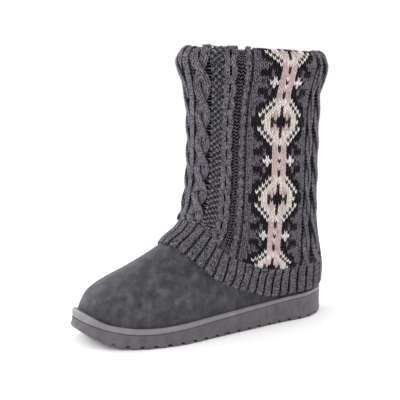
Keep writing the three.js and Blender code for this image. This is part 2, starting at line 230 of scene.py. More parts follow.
def outline_at(turn):
    turn = np.asarray(turn, float)
    x = curve_through(OUTLINE_TURNS, OUTLINE_X, np.mod(turn, TAU))
    return np.stack([x, HEEL_BACK - LENGTH * share_of(turn)], -1)


def inset_outline(turn, distance):
    """The sole's outline moved inwards by a distance."""
    along = outline_at(turn + TURN_STEP) - outline_at(turn - TURN_STEP)
    along /= np.linalg.norm(along, axis=-1, keepdims=True)
    inwards = np.stack([along[..., 1], -along[..., 0]], -1)
    return outline_at(turn) + inwards * np.asarray(distance, float)[..., None]


def spring_at(y):
    return TOE_SPRING * np.maximum(0, (SPRING_START - y) / SPRING_RUN) ** 2


def underside_at(x, y):
    towards_inner = ease(ARCH_OUTER, ARCH_INNER, x)
    return spring_at(y) + ARCH_RISE * towards_inner * np.exp(-(((y - ARCH_CENTRE) / ARCH_RUN) ** 2))


def platform_at(y):
    t = np.clip((y - FOREFOOT_END) / (HEEL_START - FOREFOOT_END), 0, 1)
    return spring_at(y) + lerp(SIDE_FOREFOOT, SIDE_HEEL, t)


def welt_height(y):
    return lerp(WELT_HEEL, WELT_TOE, (HEEL_BACK - y) / LENGTH)


def level(column, z):
    """One size of the last's level section at height z."""
    rows = np.array(LEVELS, float)
    return curve_through(rows[:, 0], rows[:, LEVEL_COLUMNS.index(column)], z)


def half_width(z, y):
    """Half the width of the last's level section: two straight sides between a rounded nose and tail."""
    nose_end = level("front", z) + level("nose", z)
    tail_start = level("back", z) - level("tail", z)
    into_nose = np.clip((nose_end - y) / level("nose", z), 0, 1)
    into_tail = np.clip((y - tail_start) / level("tail", z), 0, 1)
    t = np.clip((y - nose_end) / (tail_start - nose_end), 0, 1)
    full = lerp(level("fore", z), level("heel", z), t * t * (3 - 2 * t))
    return full * np.sqrt(1 - into_nose**2) * np.sqrt(1 - into_tail**2)


def last_at(turn, z):
    """Outer surface of the suede boot: the feather line at the sole, rounded off above it."""
    turn, z = np.broadcast_arrays(np.asarray(turn, float), np.asarray(z, float))
    feather = inset_outline(turn, np.full(turn.shape, LEDGE))
    rise = ease(FEATHER_END, FEATHER_FADE, z)
    share = lerp((HEEL_BACK - LEDGE - feather[..., 1]) / (LENGTH - 2 * LEDGE), share_of(turn), rise)
    y = lerp(level("back", z), level("front", z), share)
    side = np.where(np.mod(turn, TAU) <= math.pi, 1.0, -1.0)
    rounded = side * half_width(z, y) + level("lean", z) * ease(LEAN_START, 1, share)
    return np.stack([lerp(feather[..., 0], rounded, rise), y, z], -1)


def last_normal(turn, z):
    around = last_at(turn + TURN_STEP, z) - last_at(turn - TURN_STEP, z)
    upwards = last_at(turn, z + HEIGHT_STEP) - last_at(turn, z - HEIGHT_STEP)
    normal = np.cross(upwards, around)
    normal /= np.linalg.norm(normal, axis=-1, keepdims=True)
    normal[..., 2] *= ease(SLOPE_FROM, SLOPE_FULL, z) * (1 - ease(SLOPE_FADE, SLOPE_LEVEL, z))
    return normal / np.linalg.norm(normal, axis=-1, keepdims=True)


def last_offset(turn, z, distance):
    """Point at a distance outside the last's surface."""
    turn, z, distance = np.broadcast_arrays(
        np.asarray(turn, float), np.asarray(z, float), np.asarray(distance, float)
    )
    return last_at(turn, z) + last_normal(turn, z) * distance[..., None]


def hem_at(turn):
    degrees = np.degrees(np.mod(turn, TAU))
    rows = np.array(HEM, float)
    return curve_through(rows[:, 0], rows[:, 1], np.minimum(degrees, 360 - degrees))


def collar_top(turn):
    return lerp(COLLAR_BACK, COLLAR_FRONT, share_of(turn))


def fold_centre(turn):
    return collar_top(turn) - FOLD_HEIGHT


def upper_foot(turn):
    """Height of the suede's lower edge."""
    turn = np.asarray(turn, float)
    return platform_at(inset_outline(turn, np.full(turn.shape, LEDGE))[..., 1]) + GAP


# Materials

def linear(hex_colour):
    """Linear RGBA of an sRGB hex colour."""
    channels = [int(hex_colour[i : i + 2], 16) / 255 for i in (0, 2, 4)]
    return tuple(c / 12.92 if c <= 0.04045 else ((c + 0.055) / 1.055) ** 2.4 for c in channels) + (1.0,)


def add(tree, kind, settings=None, inputs=None, **links):
    """Adds a node with its properties, socket values and linked sockets; _0 is the first socket.

    stops in settings are the places and colours of a colour ramp."""
    node = tree.nodes.new(kind)
    for name, value in (settings or {}).items():
        if name != "stops":
            setattr(node, name, value)
            continue
        for place, colour in value:
            node.color_ramp.elements.new(place).color = linear(colour)
        node.color_ramp.elements.remove(node.color_ramp.elements[0])
        node.color_ramp.elements.remove(node.color_ramp.elements[-1])
    for name, value in (inputs or {}).items():
        node.inputs[name].default_value = value
    for name, source in links.items():
        socket = node.inputs[int(name[1:]) if name[0] == "_" else name.replace("_", " ")]
        tree.links.new(source.outputs[0] if hasattr(source, "outputs") else source, socket)
    return node


def new_material(name):
    material = bpy.data.materials.new(name)
    material.use_nodes = True
    material.node_tree.nodes.clear()
    return material, material.node_tree


def finish(material, values, **links):
    """Ends a material with its shader, given the shader's own values and its linked sockets."""
    shader = add(material.node_tree, "ShaderNodeBsdfPrincipled", {}, values, **links)
    add(material.node_tree, "ShaderNodeOutputMaterial", Surface=shader)
    return material


def per_mm(size):
    """Scale of a texture in object metres whose grain is size millimetres wide."""
    return 1 / (size * MM)


def yarn_material():
    """Acrylic yarn spun from mixed fibres: matt and flecked, its colour carrying painted shade, and each ply
    of the twist bumped, with painted shade in the grooves between plies.
    """
    material, tree = new_material("acrylic_yarn")
    place = add(tree, "ShaderNodeTexCoord").outputs["Object"]
    dye_and_painted_shade = add(tree, "ShaderNodeAttribute", {"attribute_name": "yarn_colour"})
    around = add(tree, "ShaderNodeAttribute", {"attribute_name": "yarn_around"})
    along = add(tree, "ShaderNodeAttribute", {"attribute_name": "yarn_along"})
    parts = add(tree, "ShaderNodeSeparateXYZ", Vector=around.outputs["Vector"])
    angle = add(tree, "ShaderNodeMath", {"operation": "ARCTAN2"},
                _0=parts.outputs["Y"], _1=parts.outputs["X"])
    turned = add(tree, "ShaderNodeMath", {"operation": "MULTIPLY_ADD"}, {1: math.pi / PLY_LENGTH},
                 _0=along.outputs["Fac"], _2=angle)
    wave = add(tree, "ShaderNodeMath", {"operation": "SINE"}, _0=turned)
    ply = add(tree, "ShaderNodeMath", {"operation": "ABSOLUTE"}, _0=wave)
    blend = add(tree, "ShaderNodeTexNoise", {},
                {"Scale": per_mm(2.2), "Detail": 2.0, "Roughness": 0.75}, Vector=place)
    flecks = add(tree, "ShaderNodeMapRange", {},
                 {"From Min": 0.36, "From Max": 0.66, "To Min": -0.7, "To Max": 0.7}, Value=blend)
    # Painted shade in the grooves between the plies of the twist
    painted_ply_shade = add(tree, "ShaderNodeMapRange", {}, {"To Min": -0.45, "To Max": 0.1}, Value=ply)
    uneven = add(tree, "ShaderNodeMath", _0=flecks, _1=painted_ply_shade)
    shade = add(tree, "ShaderNodeMath", {"operation": "MULTIPLY_ADD"}, {2: 1.0},
                _0=uneven, _1=dye_and_painted_shade.outputs["Alpha"])
    colour = add(tree, "ShaderNodeVectorMath", {"operation": "SCALE"},
                 Vector=dye_and_painted_shade.outputs["Color"], Scale=shade)
    fibres = add(tree, "ShaderNodeTexNoise", {}, {"Scale": per_mm(0.35), "Detail": 2.0}, Vector=place)
    height = add(tree, "ShaderNodeMath", {"operation": "MULTIPLY_ADD"}, {1: 0.6}, _0=fibres, _2=ply)
    bump = add(tree, "ShaderNodeBump", {}, {"Strength": 0.6, "Distance": 0.25 * MM}, Height=height)
    values = {"Roughness": 0.95, "Specular IOR Level": 0.15, "Sheen Weight": 0.4, "Sheen Roughness": 0.22}
    return finish(material, values, Base_Color=colour, Normal=bump)


def suede_material():
    """Brushed suede: soft clouds of nap that glow at a low angle, with painted light making it lighter low on
    the foot and darker towards the knit.
    """
    material, tree = new_material("brushed_suede")
    place = add(tree, "ShaderNodeTexCoord").outputs["Object"]
    clouds = add(tree, "ShaderNodeTexNoise", {},
                 {"Scale": per_mm(9), "Detail": 6.0, "Roughness": 0.62}, Vector=place)
    stops = [(0.28, "2c2b2e"), (0.5, "3e3d41"), (0.7, "555358")]
    clouded = add(tree, "ShaderNodeValToRGB", {"stops": stops}, Fac=clouds)
    height = add(tree, "ShaderNodeSeparateXYZ", Vector=place).outputs["Z"]
    # Painted light: lighter low on the foot and darker higher up, as if lit from below
    painted_light_by_height = add(tree, "ShaderNodeMapRange", {},
                 {"From Min": 32 * MM, "From Max": 92 * MM, "To Min": 1.15, "To Max": 0.8}, Value=height)
    colour = add(tree, "ShaderNodeVectorMath", {"operation": "SCALE"}, Vector=clouded, Scale=painted_light_by_height)
    nap = add(tree, "ShaderNodeTexNoise", {},
              {"Scale": per_mm(0.9), "Detail": 4.0, "Roughness": 0.7}, Vector=place)
    bump = add(tree, "ShaderNodeBump", {}, {"Strength": 0.5, "Distance": 0.35 * MM}, Height=nap)
    values = {"Roughness": 0.95, "Specular IOR Level": 0.2, "Sheen Weight": 0.5, "Sheen Roughness": 0.45,
              "Sheen Tint": linear("b9b9bd")}
    return finish(material, values, Base_Color=colour, Normal=bump)


def plush_material():
    """Knitted plush lining: short dense pile, matt, with a soft glow."""
    material, tree = new_material("plush_pile")
    place = add(tree, "ShaderNodeTexCoord").outputs["Object"]
    tufts = add(tree, "ShaderNodeTexNoise", {},
                {"Scale": per_mm(2.2), "Detail": 4.0, "Roughness": 0.7}, Vector=place)
    colour = add(tree, "ShaderNodeValToRGB", {"stops": [(0.3, "4d4a4f"), (0.7, "716e73")]}, Fac=tufts)
    bump = add(tree, "ShaderNodeBump", {}, {"Strength": 0.9, "Distance": 0.9 * MM}, Height=tufts)
    return finish(material, {"Roughness": 1.0, "Sheen Weight": 0.6}, Base_Color=colour, Normal=bump)


def rubber_material(name, dark, light, roughness):
    """Thermoplastic rubber from a finely sparked mould: satin grey, small pits and a faint mottle."""
    material, tree = new_material(name)
    place = add(tree, "ShaderNodeTexCoord").outputs["Object"]
    mottle = add(tree, "ShaderNodeTexNoise", {},
                 {"Scale": per_mm(9), "Detail": 5.0, "Roughness": 0.65}, Vector=place)
    colour = add(tree, "ShaderNodeValToRGB", {"stops": [(0.3, dark), (0.7, light)]}, Fac=mottle)
    pits = add(tree, "ShaderNodeTexNoise", {},
               {"Scale": per_mm(0.8), "Detail": 3.0, "Roughness": 0.6}, Vector=place)
    bump = add(tree, "ShaderNodeBump", {}, {"Strength": 0.35, "Distance": 0.15 * MM}, Height=pits)
    values = {"Roughness": roughness, "Specular IOR Level": 0.4}
    return finish(material, values, Base_Color=colour, Normal=bump)


def shade_sheet_material():
    """Painted shade inside the knit: a matt near-black sheet with a fine mottle."""
    material, tree = new_material("knit_ground_yarn")
    place = add(tree, "ShaderNodeTexCoord").outputs["Object"]
    mottle = add(tree, "ShaderNodeTexNoise", {},
                 {"Scale": per_mm(1.6), "Detail": 3.0, "Roughness": 0.6}, Vector=place)
    colour = add(tree, "ShaderNodeValToRGB", {"stops": [(0.3, "0a090b"), (0.7, "151416")]}, Fac=mottle)
    bump = add(tree, "ShaderNodeBump", {}, {"Strength": 0.6, "Distance": 0.5 * MM}, Height=mottle)
    values = {"Roughness": 1.0, "Specular IOR Level": 0.1}
    return finish(material, values, Base_Color=colour, Normal=bump)


# Meshes

def mesh_object(name, vertices, faces, material, smooth=True):
    """Object of vertices in mm and faces."""
    mesh = bpy.data.meshes.new(name)
    corners = [tuple(v) for v in np.asarray(vertices) * MM]
    mesh.from_pydata(corners, [], [tuple(int(i) for i in f) for f in faces])
    mesh.materials.append(material)
    if smooth:
        mesh.shade_smooth()
    obj = bpy.data.objects.new(name, mesh)
    bpy.context.scene.collection.objects.link(obj)
    return obj


# Knit: what each column holds. Panels run from the heel's back over the outer side to the front, and on by
# the inner side to the back: kind, columns, and width on the shaft.
OUTER_PANELS = [
    ("plain", 4, 13.5),
    ("ladder", 1, 3.5),
    ("chain", 2, 6.5),
    ("ladder", 1, 3.5),
    ("seed", 3, 9.5),
    ("ladder", 1, 3.5),
    ("rope", 6, 18.0),
    ("ladder", 1, 4.0),
    ("links", 4, 9.5),
    ("ladder", 1, 2.0),
    ("colourwork", 21, 67.0),
    ("ladder", 1, 1.8),
    ("chain", 2, 5.3),
    ("deep_ladder", 2, 6.9),
    ("rings", 4, 9.8),
    ("seed", 4, 12.2),
    ("rope", 6, 20.7),
    ("ladder", 1, 1.8),
]
INNER_PANELS = [
    ("roll", 3, 8.0),
    ("ladder", 1, 2.5),
    ("rope", 6, 20.0),
    ("ladder", 1, 2.8),
    ("seed", 4, 12.4),
    ("ladder", 1, 2.8),
    ("rings", 4, 10.4),
    ("deep_ladder", 2, 6.8),
    ("chain", 2, 5.6),
    ("ladder", 1, 2.8),
    ("rope", 6, 19.5),
    ("ladder", 1, 3.0),
    ("chain", 2, 6.0),
    ("deep_ladder", 2, 6.6),
    ("rings", 4, 10.8),
    ("ladder", 1, 3.0),
    ("seed", 3, 9.5),
    ("ladder", 1, 3.0),
    ("braid", 3, 11.0),
    ("ladder", 1, 3.0),
    ("rope", 6, 18.5),
    ("ladder", 1, 3.2),
    ("seed", 3, 9.5),
    ("ladder", 1, 3.3),
    ("plain", 4, 12.5),
]

# Ribs of the hem. The first starts a little off the heel's back. Those at the front, between two places round
# the shaft, lie flatter.
RIBS = 44
RIB_COLUMNS = 3
RIB_START = 1.5
RIB_GAP_SHARE = 0.25
FRONT_RIBS = (118.0, 280.0)
HEM_STEPS = 797

# Strands and columns of a strand, of each kind of cable, and how close a strand's columns are drawn together
STRANDS = {"rope": (2, 3), "links": (2, 2), "chain": (2, 1), "rings": (2, 2), "braid": (3, 1)}
STRAND_TIGHT = {"rope": 0.82, "links": 0.7, "rings": 0.85}

# Twists of two strands: columns to each side, lift, rows between crossings, and the row of one crossing
TWISTS = {"rope": (1.6, 1.4, 9.6, 5.6), "links": (1.25, 1.1, 9.6, 7.0), "chain": (0.5, 0.5, 3, 0)}

# Rings open between two strands that touch; a braid's three strands cross in turn
RING_ROWS, RING_CLOSED, RING_OPENING, RING_LIFT = 5, 0.72, 0.6, 0.9
BRAID_ROWS, BRAID_ACROSS, BRAID_LIFT = 4, 0.95, 0.7

# Painted light and shade on the yarn's colour: low and high strands by their lifts, share of the light that
# reaches a loop's hidden parts, and the bars. The hem's first course is lighter by its own factor.
LOW_SHADE, HIGH_SHADE = 0.3, 1.15
LOW_LIFT, HIGH_LIFT = -3.4, 1.4
HIDDEN_SHADE = 0.12
HIDDEN_SHADES = {"colourwork": 0.6, "seed": 0.0, "rib": 0.0, "rings": 0.0}
BAR_SHADE = 0.9
EDGE_SHADE = 1.25

# Seed stitch: its purled bumps stand out, with a painted highlight on them and painted shade between them
SEED_BUMP = 0.5
PURL_SHADE, BETWEEN_SHADE = 1.3, 0.8

# How far each kind stands out from the plain knit
LIFTS = {
    "plain": 0.0,
    "colourwork": 0.1,
    "seed": 0.5,
    "roll": 1.2,
    "rope": 1.2,
    "links": 1.0,
    "chain": 0.9,
    "rings": 0.9,
    "braid": 1.0,
    "ladder": -1.6,
    "deep_ladder": -1.9,
    "rib": 0.9,
    "rib_gap": -2.8,
    "front_rib": 0.3,
    "front_gap": -1.7,
}
PURLED = ("ladder", "deep_ladder", "rib_gap", "front_gap")

# Colourwork: rows from a star's centre up to half a repeat, columns from the panel's edge to its middle. Both
# halves mirror. A dot is the ground yarn.
CHART = [
    ".KKKCCCOOKK",
    ".KKKOCCOMKK",
    "..KWOCCMMMK",
    "..KKWOCCMCO",
    "..KKKWOCCCO",
    "...KKKWOCCC",
    ".....KKWPCC",
    "....KKKKPPD",
    "..KKK.KKPPD",
    "..KKK.KKPPP",
    ".....KWKPPC",
    "....KWWWPPD",
]

# Yarns: charcoal ground, black, white, olive, cream, pink, dusty pink and dark brown
YARNS = {
    ".": "706c74",
    "K": "191420",
    "W": "f4f0ee",
    "O": "3f3929",
    "C": "f4e9e2",
    "P": "e0c6c4",
    "M": "dcc8c6",
    "D": "3b3031",
}

# Share of the yarn's flecks and of its painted ply shade that shows on the dyed yarns
DYED_FLECKS_AND_PLY_SHADE = 0.3


def strand_place(kind, strand, strands, v):
    """Sideways place in columns from the panel's middle, and lift in mm, of a strand at row v."""
    if kind in TWISTS:
        across, high, rows, crossing = TWISTS[kind]
        phase = math.pi * ((v - crossing) / rows + strand)
        return -across * np.cos(phase), LIFTS[kind] + high * np.sin(phase)
    if kind == "rings":
        opened = np.abs(np.sin(math.pi * v / RING_ROWS))
        side = 2 * strand - 1
        return side * (RING_CLOSED + RING_OPENING * opened), LIFTS[kind] + RING_LIFT * (1 - opened)
    if kind == "braid":
        phase = math.pi * v / BRAID_ROWS + TAU * strand / strands
        return BRAID_ACROSS * np.sin(phase), LIFTS[kind] + BRAID_LIFT * np.sin(2 * phase)
    return strand - (strands - 1) / 2 + 0 * v, LIFTS[kind]


def knit_sign(kind, row, column):
    """1 where a stitch is knitted, its legs outwards, and -1 where it is purled."""
    if kind == "seed":
        return np.where((row + column) % 2 == 0, 1.0, -1.0)
    return -1.0 if kind in PURLED else 1.0


def chart_letters(rows):
    """Yarn letters of the colourwork panel, rows by columns."""
    period = 2 * (len(CHART) - 1)
    letters = []
    for row in rows:
        from_star = abs((int(row) - RIB_ROWS + period // 2) % period - period // 2)
        half = CHART[from_star]
        letters.append(half + half[-2::-1])
    return letters


def panel_yarn(kind, count, start, width, rows):
    """Yarn of one panel: places round the shaft, rows, lifts and painted shades, as rows by columns by
    samples.
    """
    # t goes once along a loop, from the foot over the head to the next foot
    t = (np.arange(LOOP_SAMPLES) + 0.5) * TAU / LOOP_SAMPLES - math.pi
    t = t[None, None, :]
    row = rows[:, None, None]
    column = np.arange(count)[None, :, None]
    # Strands change places at a crossing, and each column goes with the strand that lies there
    strands, wide = STRANDS.get(kind, (count, 1))
    middles = np.concatenate([strand_place(kind, k, strands, row)[0] for k in range(strands)], 1)
    order = np.argsort(middles, axis=1)
    strand = np.take_along_axis(order, np.broadcast_to(column // wide, (len(rows), count, 1)), 1)
    in_strand = (column % wide - (wide - 1) / 2) * STRAND_TIGHT.get(kind, 1.0)
    bar = kind == "deep_ladder"
    v = row + (BAR_REACH if bar else LOOP_REACH) * np.cos(t)
    middle, lift = strand_place(kind, strand, strands, v)
    across = (t + (0 if bar else LOOP_SWAY) * np.sin(2 * t)) / TAU
    s = start + width / 2 + width / count * (middle + in_strand + across)
    sign = knit_sign(kind, np.floor(row), column)
    in_front = (1 - sign * np.cos(2 * t)) / 2
    # Painted shade: deep strands and a loop's hidden parts darker, raised strands and purled seed bumps
    # lighter
    shade = lerp(LOW_SHADE, HIGH_SHADE, ease(LOW_LIFT, HIGH_LIFT, lift))
    shade = shade * lerp(HIDDEN_SHADES.get(kind, HIDDEN_SHADE), 1.0, in_front)
    if kind == "seed":
        lift = lift - SEED_BUMP * sign
        shade = shade * np.where(sign < 0, PURL_SHADE, BETWEEN_SHADE)
    if bar:
        shade = BAR_SHADE
    lift = lift - sign * LOOP_DEPTH * np.cos(2 * t)
    return np.broadcast_arrays(s, v, lift, shade)


def panel_colours(kind, rows, shade):
    """Colour of each point of a panel's yarn, with its painted shade. The alpha is the share of the flecks
    and of the painted ply shade that shows.
    """
    colour = np.tile(np.array(linear(YARNS["."])), shade.shape + (1,))
    if kind == "colourwork":
        for i, letters in enumerate(chart_letters(rows)):
            for j, letter in enumerate(letters):
                flecks = 1.0 if letter == "." else DYED_FLECKS_AND_PLY_SHADE
                colour[i, j] = linear(YARNS[letter])[:3] + (flecks,)
    # Painted shade goes into the yarn's colour
    colour[..., :3] *= shade[..., None]
    return colour


def rib_panels():
    """Ribs of one width along the hem, and the place on the shaft where the first one starts."""
    places = np.linspace(0, 2 * HALF_ROUND, HEM_STEPS)
    hem = on_sleeve(places, np.full(places.shape, 0.5), np.zeros(places.shape))
    walked = walked_along(hem)
    pitch = walked[-1] / RIBS
    edges = RIB_START + pitch * (np.arange(RIBS + 1) - RIB_GAP_SHARE / 2)
    walked_twice = np.concatenate([walked, walked[1:] + walked[-1]])
    places_twice = np.concatenate([places, places[1:] + places[-1]])
    starts = np.interp(edges + walked[-1], walked_twice, places_twice) - places[-1]
    panels = []
    for start, end in zip(starts, starts[1:]):
        in_front = FRONT_RIBS[0] < start < FRONT_RIBS[1]
        gap, rib = ("front_gap", "front_rib") if in_front else ("rib_gap", "rib")
        panels.append((gap, 1, (end - start) * RIB_GAP_SHARE))
        panels.append((rib, RIB_COLUMNS, (end - start) * (1 - RIB_GAP_SHARE)))
    return panels, starts[0]


def knit_band(name, parts, rows, tree, material, start=0.0, edge=False):
    """One band of courses, whose parts share the round evenly. Each course is one closed yarn."""
    length = 2 * HALF_ROUND / len(parts)
    yarns = []
    for part in parts:
        scale = length / sum(width for _, _, width in part)
        at = start
        for kind, count, width in part:
            s, v, lift, shade = panel_yarn(kind, count, at, width * scale, rows)
            yarns.append((s, v, lift, panel_colours(kind, rows, shade)))
            at += width * scale
        start += length
    s, v, lift, colour = (np.concatenate(values, 1) for values in zip(*yarns))
    colour = colour.reshape(len(rows), -1, 4)
    if edge:
        colour[0, :, :3] *= EDGE_SHADE
    points = on_sleeve(*(values.reshape(len(rows), -1) for values in (s, v, lift)))
    return sweep_yarn(name, points, colour, tree, material)


# Knit: from places round the shaft and rows to the sleeve's surface

# Drift of the columns near the collar, in degrees by height: on the outer side towards the heel
DRIFT_Z = (190.0, 215.0, 240.0, 250.0)
DRIFT_DEGREES = (0.0, -2.0, -5.0, -6.0)

# Share of the foot's extra length that a column has moved forwards, by its share of the shaft's depth
FAN = ((0, 0.2, 0.4, 0.54, 0.69, 0.8, 0.9, 1), (0, 0.035, 0.1, 0.135, 0.15, 0.28, 0.56, 1))
SHAFT_DEPTH = float(level("back", SHAFT_LEVEL) - level("front", SHAFT_LEVEL))

# Powers by which rows level out on the way up: quickly where the hem is low and slowly where it is high, with
# the hem's rise from where the power changes to where it has changed
SLOW_LEVELLING, QUICK_LEVELLING = 1.45, 3.3
LEVELLING_BEND = (12, 50)

# The knit is thinner along the hem's edge, and at the front up to some rows above the ribs
EDGE_THIN, EDGE_ROWS = 1.5, 2.0
FRONT_THIN, FRONT_THIN_ROWS, FRONT_THIN_SHARE = 1.4, (5, 14), (0.75, 1.0)

# Keeps the rows evenly spaced round the fold, which is taller than it is wide
FOLD_EVENING = 0.093

# Points of the tables round the shaft, and rounds in which a column's foot settles
ROUND_STEPS = 721
FOOT_ROUNDS = 60


def sleeve_thickness(z):
    return KNIT + FLARE * ease(FLARE_START, FLARE_END, z)


def round_table():
    """Turn against distance round the sleeve at the shaft's level."""
    turns = np.linspace(0, TAU, ROUND_STEPS)
    walked = walked_along(last_offset(turns, SHAFT_LEVEL, GAP + KNIT))
    return walked * 2 * HALF_ROUND / walked[-1], turns


ROUND_MM, ROUND_TURNS = round_table()


def column_turn(turn, z):
    """Turn at height z of a column that stands at a turn on the shaft. Front ones fan out on the instep."""
    turn = turn + np.radians(np.interp(z, DRIFT_Z, DRIFT_DEGREES))
    share = share_of(turn)
    depth = level("back", z) - level("front", z)
    fan = curve_through(*FAN, share)
    spread = np.clip((SHAFT_DEPTH * share + (depth - SHAFT_DEPTH) * fan) / depth, 0, 1)
    low = np.arccos(1 - 2 * spread)
    low = np.where(np.mod(turn, TAU) <= math.pi, low, TAU - low)
    return np.where(z < SHAFT_LEVEL, low, turn)


def column_foot():
    """Turns on the shaft, and the height at which the column under each one meets the hem."""
    turns = np.linspace(0, TAU, ROUND_STEPS)
    z = hem_at(turns)
    for _ in range(FOOT_ROUNDS):
        z = lerp(z, hem_at(column_turn(turns, z)), 0.5)
    return turns, z


FOOT_TURNS, FOOT_Z = column_foot()


def row_height(turn, v):
    """Height of row v under a turn on the shaft. Rows start along the hem and level out on the way up."""
    bend = np.interp(np.mod(turn, TAU), FOOT_TURNS, FOOT_Z) - HEM_BACK
    rise = np.clip(v / FOLD_ROW, -0.1, 1)
    fade = lerp(QUICK_LEVELLING, SLOW_LEVELLING, ease(*LEVELLING_BEND, bend))
    back = HEM_BACK + ROW_BACK * np.minimum(v, FOLD_ROW) - TIGHTER * ease(TIGHT_START, TIGHT_END, v)
    return back + bend * (1 - rise) ** fade + (fold_centre(turn) - fold_centre(0.0)) * rise


def fold_point(turn, angle, lift, below):
    """Point on the collar's fold: angle 0 outside, half a turn inside, then below it on the lip."""
    z = fold_centre(turn)
    outer = GAP + sleeve_thickness(z)
    middle, half = (outer - FOLD_INSIDE) / 2, (outer + FOLD_INSIDE) / 2
    point = last_offset(turn, z, middle + (half + lift) * np.cos(angle))
    point[..., 2] = z + (FOLD_HEIGHT + lift) * np.sin(angle) - below
    return point


def on_sleeve(s, v, lift):
    """Points in mm for places round the shaft, rows and lifts from the knit's middle surface."""
    turn = np.interp(np.mod(s, 2 * HALF_ROUND), ROUND_MM, ROUND_TURNS)
    z = row_height(turn, v)
    at = column_turn(turn, z)
    thin = EDGE_THIN * (1 - ease(0, EDGE_ROWS, v))
    thin = thin + FRONT_THIN * (1 - ease(*FRONT_THIN_ROWS, v)) * ease(*FRONT_THIN_SHARE, share_of(turn))
    wall = last_offset(at, z, GAP + sleeve_thickness(z) - KNIT_SINK - thin + lift)
    q = np.clip((v - FOLD_ROW) / FOLD_ROWS, 0, 1)
    angle = math.pi * q - FOLD_EVENING * np.sin(TAU * q)
    below = np.maximum(0, v - FOLD_ROW - FOLD_ROWS) * ROW_BACK
    fold = fold_point(column_turn(turn, fold_centre(turn)), angle, lift - KNIT_SINK, below)
    return np.where((v > FOLD_ROW)[..., None], fold, wall)


# Knit: the yarn itself

def yarn_tree():
    """Geometry Nodes: a yarn along every line of the mesh. The place round it is kept for its twist."""
    tree = bpy.data.node_groups.new("yarn_on_courses", "GeometryNodeTree")
    sockets = tree.interface
    sockets.new_socket("Courses", in_out="INPUT", socket_type="NodeSocketGeometry")
    sockets.new_socket("Yarn Radius", in_out="INPUT", socket_type="NodeSocketFloat")
    sockets.new_socket("Yarn Sides", in_out="INPUT", socket_type="NodeSocketInt")
    sockets.new_socket("Yarn Material", in_out="INPUT", socket_type="NodeSocketMaterial")
    sockets.new_socket("Knit", in_out="OUTPUT", socket_type="NodeSocketGeometry")
    given = add(tree, "NodeGroupInput")
    lines = add(tree, "GeometryNodeMeshToCurve", Mesh=given.outputs["Courses"])
    circle = add(tree, "GeometryNodeCurvePrimitiveCircle", Radius=given.outputs["Yarn Radius"],
                 Resolution=given.outputs["Yarn Sides"])
    place = add(tree, "GeometryNodeInputPosition")
    around = add(tree, "GeometryNodeStoreNamedAttribute", {"data_type": "FLOAT_VECTOR", "domain": "POINT"},
                 {"Name": "yarn_around"}, Geometry=circle.outputs[0], Value=place.outputs[0])
    tube = add(tree, "GeometryNodeCurveToMesh", Curve=lines.outputs[0], Profile_Curve=around.outputs[0])
    smooth = add(tree, "GeometryNodeSetShadeSmooth", Geometry=tube.outputs[0])
    real = add(tree, "GeometryNodeRealizeInstances", Geometry=smooth.outputs[0])
    coloured = add(tree, "GeometryNodeSetMaterial", Geometry=real.outputs[0],
                   Material=given.outputs["Yarn Material"])
    out = add(tree, "NodeGroupOutput")
    tree.links.new(coloured.outputs[0], out.inputs[0])
    return tree


def set_inputs(modifier, **values):
    """Sets a Geometry Nodes modifier's inputs by their names."""
    for socket in modifier.node_group.interface.items_tree:
        key = socket.name.replace(" ", "_").lower()
        if socket.in_out == "INPUT" and key in values:
            modifier[socket.identifier] = values[key]


def made_mesh(obj, name):
    """A plain object with the evaluated mesh of obj, which is removed."""
    bpy.context.view_layer.update()
    graph = bpy.context.evaluated_depsgraph_get()
    evaluated = obj.evaluated_get(graph)
    mesh = bpy.data.meshes.new_from_object(evaluated, preserve_all_data_layers=True, depsgraph=graph)
    mesh.name = name
    obj.modifiers.clear()
    bpy.data.objects.remove(obj)
    made = bpy.data.objects.new(name, mesh)
    bpy.context.scene.collection.objects.link(made)
    return made


def sweep_yarn(name, points, colour, tree, material):
    """Yarn along closed courses, given as courses by points."""
    courses, count, _ = points.shape
    index = np.arange(courses * count).reshape(courses, count)
    edges = np.stack([index, np.roll(index, -1, axis=1)], -1).reshape(-1, 2)
    steps = np.linalg.norm(np.roll(points, -1, axis=1) - points, axis=-1)
    along = np.cumsum(steps, axis=1)
    along = np.minimum(along, along[:, -1:] - along)
    mesh = bpy.data.meshes.new(name)
    mesh.vertices.add(courses * count)
    mesh.vertices.foreach_set("co", (points * MM).astype(np.float32).ravel())
    mesh.edges.add(len(edges))
    mesh.edges.foreach_set("vertices", edges.astype(np.int32).ravel())
    # The yarn's colour, with its painted shade
    mesh.attributes.new("yarn_colour", "FLOAT_COLOR", "POINT").data.foreach_set(
        "color", colour.astype(np.float32).ravel())
    mesh.attributes.new("yarn_along", "FLOAT", "POINT").data.foreach_set(
        "value", along.astype(np.float32).ravel())
    mesh.update()
    lines = bpy.data.objects.new(name, mesh)
    bpy.context.scene.collection.objects.link(lines)
    sweep = lines.modifiers.new("yarn", "NODES")
    sweep.node_group = tree
    set_inputs(sweep, yarn_radius=YARN_RADIUS * MM, yarn_sides=YARN_SIDES, yarn_material=material)
    return made_mesh(lines, name)


# Smooth pieces from rings

def ring_faces(rows, columns, closed):
    """Quads between rings listed from bottom to top, facing outwards."""
    lower = np.arange(rows if closed else rows - 1)[:, None] * columns
    upper = (lower + columns) % (rows * columns)
    here = np.arange(columns)[None, :]
    there = (here + 1) % columns
    return np.stack([lower + here, upper + here, upper + there, lower + there], -1).reshape(-1, 4).tolist()


def lid_faces(start, columns, faces_up):
    """Strips across a ring, from each point on the outer side to its partner on the inner side."""
    half = columns // 2
    faces = [(0, 1, columns - 1)]
    faces += [(j, j + 1, columns - j - 1, columns - j) for j in range(1, half - 1)]
    faces.append((half - 1, half, half + 1))
    faces = [tuple(start + i for i in face) for face in faces]
    return [face[::-1] for face in faces] if faces_up else faces


